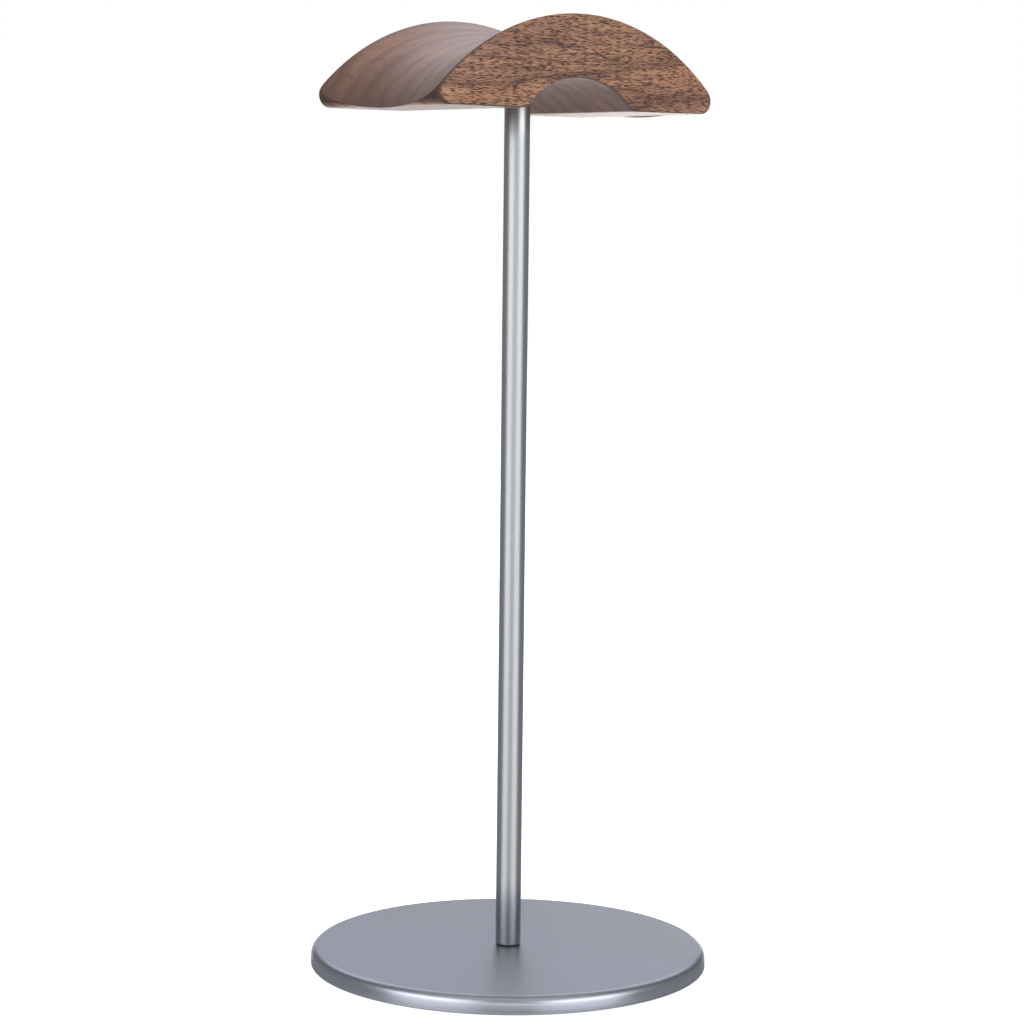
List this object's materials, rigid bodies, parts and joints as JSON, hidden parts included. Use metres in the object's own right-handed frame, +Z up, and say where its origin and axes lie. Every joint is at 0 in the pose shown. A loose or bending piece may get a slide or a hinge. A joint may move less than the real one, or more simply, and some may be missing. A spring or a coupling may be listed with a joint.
{
  "type": "headphone stand",
  "caption": "Desk stand for headphones: an arched walnut saddle with a scooped headband seat, on a slim round steel pole and a round metal base plate.",
  "frame": {"origin": "middle of the resting face, on the pole's axis", "axes": "+Z up along the pole; X along the saddle's width, the way the headband runs; the saddle's front face looks along -Y"},
  "size_m": [0.125, 0.125, 0.2968],
  "materials": {
    "walnut": "oiled satin, open pores on the end faces",
    "insert_brass": "plain turned",
    "fixings": "zinc plated",
    "pole_steel": "satin, fine speckle",
    "washer_nylon": "matt",
    "base_grey": "satin metallic grey coating",
    "pad_black": "matt foam rubber"
  },
  "bodies": {
    "root": {"saddle": "walnut", "saddle_insert": "insert_brass", "saddle_stud": "fixings", "pole": "pole_steel", "pole_washer": "washer_nylon", "base_plate": "base_grey", "base_screw": "fixings", "base_pad": "pad_black"}
  },
  "joints": []
}
